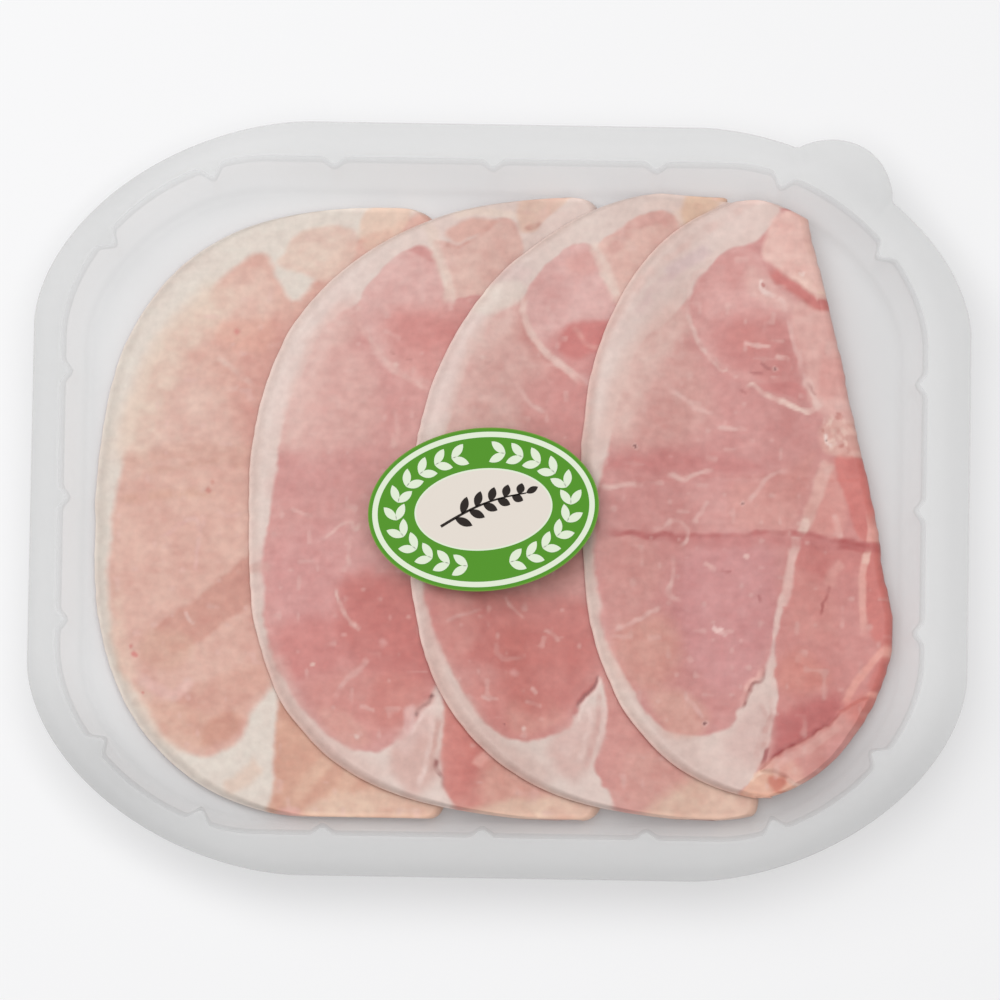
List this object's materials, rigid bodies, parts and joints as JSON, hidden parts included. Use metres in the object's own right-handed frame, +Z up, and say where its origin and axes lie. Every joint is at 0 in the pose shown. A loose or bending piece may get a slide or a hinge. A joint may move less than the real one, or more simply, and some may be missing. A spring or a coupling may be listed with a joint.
{
  "type": "cooked ham pack",
  "caption": "Sealed flat clear tray of shingled folded ham slices, with denting ribs in its wall, a peel tab, a lidding film and an oval label.",
  "frame": {"origin": "middle of the tray's underside, at the middle of the pack's length and width", "axes": "+X along the pack's length, from the first slice to the last; +Y along its width, towards the corner with the peel tab; +Z up, out of the lidding film"},
  "size_m": [0.224, 0.182, 0.0184],
  "materials": {
    "tray_plastic": "clear thermoformed sheet with a grey cast, glossy",
    "pale_ham": "moist cooked meat, pale",
    "ham": "moist cooked meat, pink with a creamy rim of fat",
    "film": "clear lidding film, glossy",
    "label_print": "printed label stock, semi-gloss"
  },
  "bodies": {
    "root": {"tray": "tray_plastic", "slice_1": "pale_ham", "slice_2": "ham", "slice_3": "ham", "slice_4": "ham", "lid_film": "film", "label": "label_print"}
  },
  "joints": []
}
